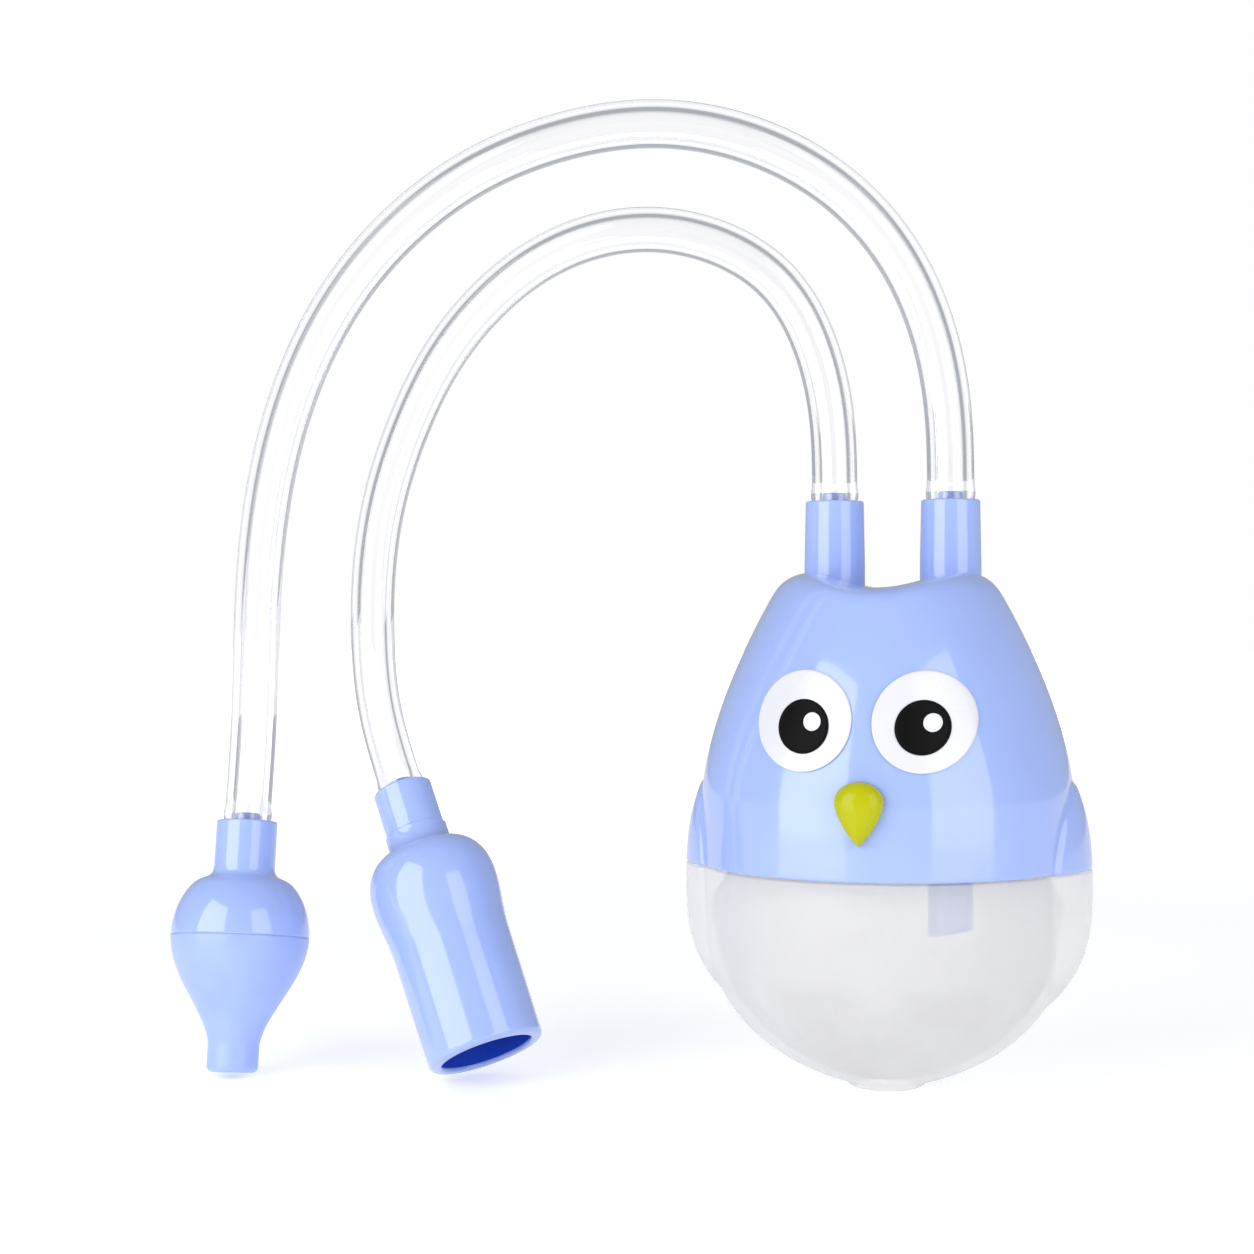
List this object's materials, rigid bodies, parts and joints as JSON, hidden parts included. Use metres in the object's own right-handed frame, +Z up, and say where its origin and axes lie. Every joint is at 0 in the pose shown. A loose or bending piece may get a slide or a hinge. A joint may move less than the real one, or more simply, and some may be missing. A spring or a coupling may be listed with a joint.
{
  "type": "nasal aspirator",
  "caption": "Mouth-powered baby nasal aspirator with an owl-shaped cup and two clear hoses to a soft nasal tip and a mouthpiece.",
  "frame": {"origin": "centre of the cup's flat foot", "axes": "+Z up, the owl looks along -Y, and the hoses arch over to the -X side"},
  "size_m": [0.1406, 0.0586, 0.1489],
  "materials": {
    "frosted_cup": "frosted translucent polypropylene",
    "seal": "clear silicone",
    "blue_plastic": "gloss moulded",
    "blue_silicone": "satin silicone",
    "beak": "gloss moulded",
    "eye_white": "gloss",
    "pupil": "gloss",
    "clear_hose": "clear flexible PVC"
  },
  "bodies": {
    "cup_body": {"cup": "frosted_cup", "seal_ring": "seal"},
    "head": {"head_shell": "blue_plastic", "inner_lid": "blue_plastic", "inlet_pipe": "blue_plastic", "outlet_pipe": "blue_plastic", "beak": "beak", "left_eye_white": "eye_white", "right_eye_white": "eye_white", "left_pupil": "pupil", "right_pupil": "pupil", "left_glint": "eye_white", "right_glint": "eye_white"},
    "nose_line": {"nose_hose": "clear_hose", "tip_socket": "blue_plastic", "nozzle": "blue_silicone"},
    "mouth_line": {"mouth_hose": "clear_hose", "mouth_connector": "blue_plastic", "mouthpiece": "blue_plastic"}
  },
  "joints": [
    {"name": "head_lift", "type": "slide", "parent": "cup_body", "child": "head", "axis": [0, 0, 1], "range_m": [0, 0.04]},
    {"name": "nose_hose_swivel", "type": "hinge", "parent": "head", "child": "nose_line", "pos_m": [0.009, 0.007, 0.0892], "axis": [0, 0, 1], "range_deg": [-90, 90]},
    {"name": "mouth_hose_swivel", "type": "hinge", "parent": "head", "child": "mouth_line", "pos_m": [-0.009, 0.007, 0.0892], "axis": [0, 0, 1], "range_deg": [-90, 90]}
  ]
}
